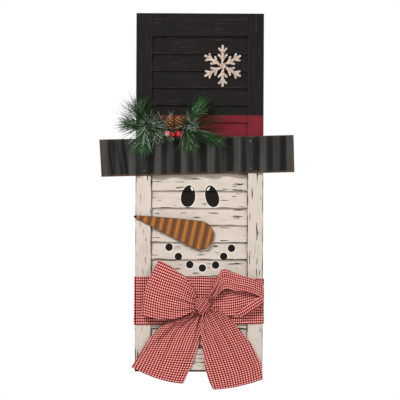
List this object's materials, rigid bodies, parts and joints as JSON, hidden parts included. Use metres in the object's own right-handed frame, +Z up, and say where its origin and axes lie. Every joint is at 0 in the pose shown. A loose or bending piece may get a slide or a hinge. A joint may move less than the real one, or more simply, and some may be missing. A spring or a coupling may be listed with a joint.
{
  "type": "wall-hung shutter snowman",
  "caption": "Louvered wooden shutter painted as a snowman, with a corrugated steel hat brim and nose, pine sprig, snowflake and a gingham scarf tied in a bow.",
  "frame": {"origin": "middle of the top rail's back face, which rests on the wall", "axes": "+Z up along the height, +X to the right as seen from the front, +Y into the wall; the front faces -Y"},
  "size_m": [0.4968, 0.0888, 0.96],
  "materials": {
    "black_painted_wood": "matt paint, rubbed at the edges",
    "red_painted_wood": "matt paint, rubbed at the edges",
    "cream_painted_wood": "matt paint, distressed in dark strokes",
    "brim_steel": "satin dark paint, rusty at the edges",
    "nail_steel": "dark satin",
    "nose_steel": "satin orange paint, brown in the valleys and at the rim",
    "bare_wood": "sawn, unfinished",
    "whitewashed_wood": "thin white wash, worn",
    "sprig_bark": "paper-wrapped wire",
    "pine_needles": "satin, some flocked white",
    "cone_scales": "dry, rough",
    "berry_lacquer": "glossy, lightly frosted",
    "gingham_cotton": "plain weave, small check, red and white",
    "hanger_steel": "zinc plated"
  },
  "bodies": {
    "panel": {"left_stile": "cream_painted_wood", "right_stile": "cream_painted_wood", "bottom_rail": "cream_painted_wood", "top_rail": "black_painted_wood", "louver_slat_01": "black_painted_wood", "louver_slat_02": "black_painted_wood", "louver_slat_03": "black_painted_wood", "louver_slat_04": "black_painted_wood", "louver_slat_05": "black_painted_wood", "louver_slat_06": "red_painted_wood", "louver_slat_07": "red_painted_wood", "louver_slat_08": "cream_painted_wood", "louver_slat_09": "cream_painted_wood", "louver_slat_10": "cream_painted_wood", "louver_slat_11": "cream_painted_wood", "louver_slat_12": "cream_painted_wood", "louver_slat_13": "cream_painted_wood", "louver_slat_14": "cream_painted_wood", "louver_slat_15": "cream_painted_wood", "louver_slat_16": "cream_painted_wood", "louver_slat_17": "cream_painted_wood", "louver_slat_18": "cream_painted_wood", "louver_slat_19": "cream_painted_wood", "hat_brim": "brim_steel", "brim_nail_1": "nail_steel", "brim_nail_2": "nail_steel", "brim_nail_3": "nail_steel", "brim_nail_4": "nail_steel", "carrot_nose": "nose_steel", "nose_spacer": "bare_wood", "snowflake": "whitewashed_wood", "sprig_stem": "sprig_bark", "pine_branch_1": "pine_needles", "pine_branch_2": "pine_needles", "pine_branch_3": "pine_needles", "pine_branch_4": "pine_needles", "pine_branch_5": "pine_needles", "pine_branch_6": "pine_needles", "pine_branch_7": "pine_needles", "pine_branch_8": "pine_needles", "pine_cone_1": "cone_scales", "pine_cone_2": "cone_scales", "berry_1": "berry_lacquer", "berry_2": "berry_lacquer", "berry_3": "berry_lacquer", "scarf_band": "gingham_cotton", "bow_loop_left": "gingham_cotton", "bow_loop_right": "gingham_cotton", "bow_knot": "gingham_cotton", "bow_tail_left": "gingham_cotton", "bow_tail_right": "gingham_cotton", "hanger_strap_1": "hanger_steel", "hanger_screw_1": "hanger_steel", "hanger_strap_2": "hanger_steel", "hanger_screw_2": "hanger_steel"},
    "ring_1": {"hanger_ring_1": "hanger_steel"},
    "ring_2": {"hanger_ring_2": "hanger_steel"}
  },
  "joints": [
    {"name": "ring_1_hinge", "type": "hinge", "parent": "panel", "child": "ring_1", "pos_m": [-0.14238, 0.0023, -0.09], "axis": [-1, 0, 0], "range_deg": [0, 160]},
    {"name": "ring_2_hinge", "type": "hinge", "parent": "panel", "child": "ring_2", "pos_m": [0.14238, 0.0023, -0.09], "axis": [-1, 0, 0], "range_deg": [0, 160]}
  ]
}
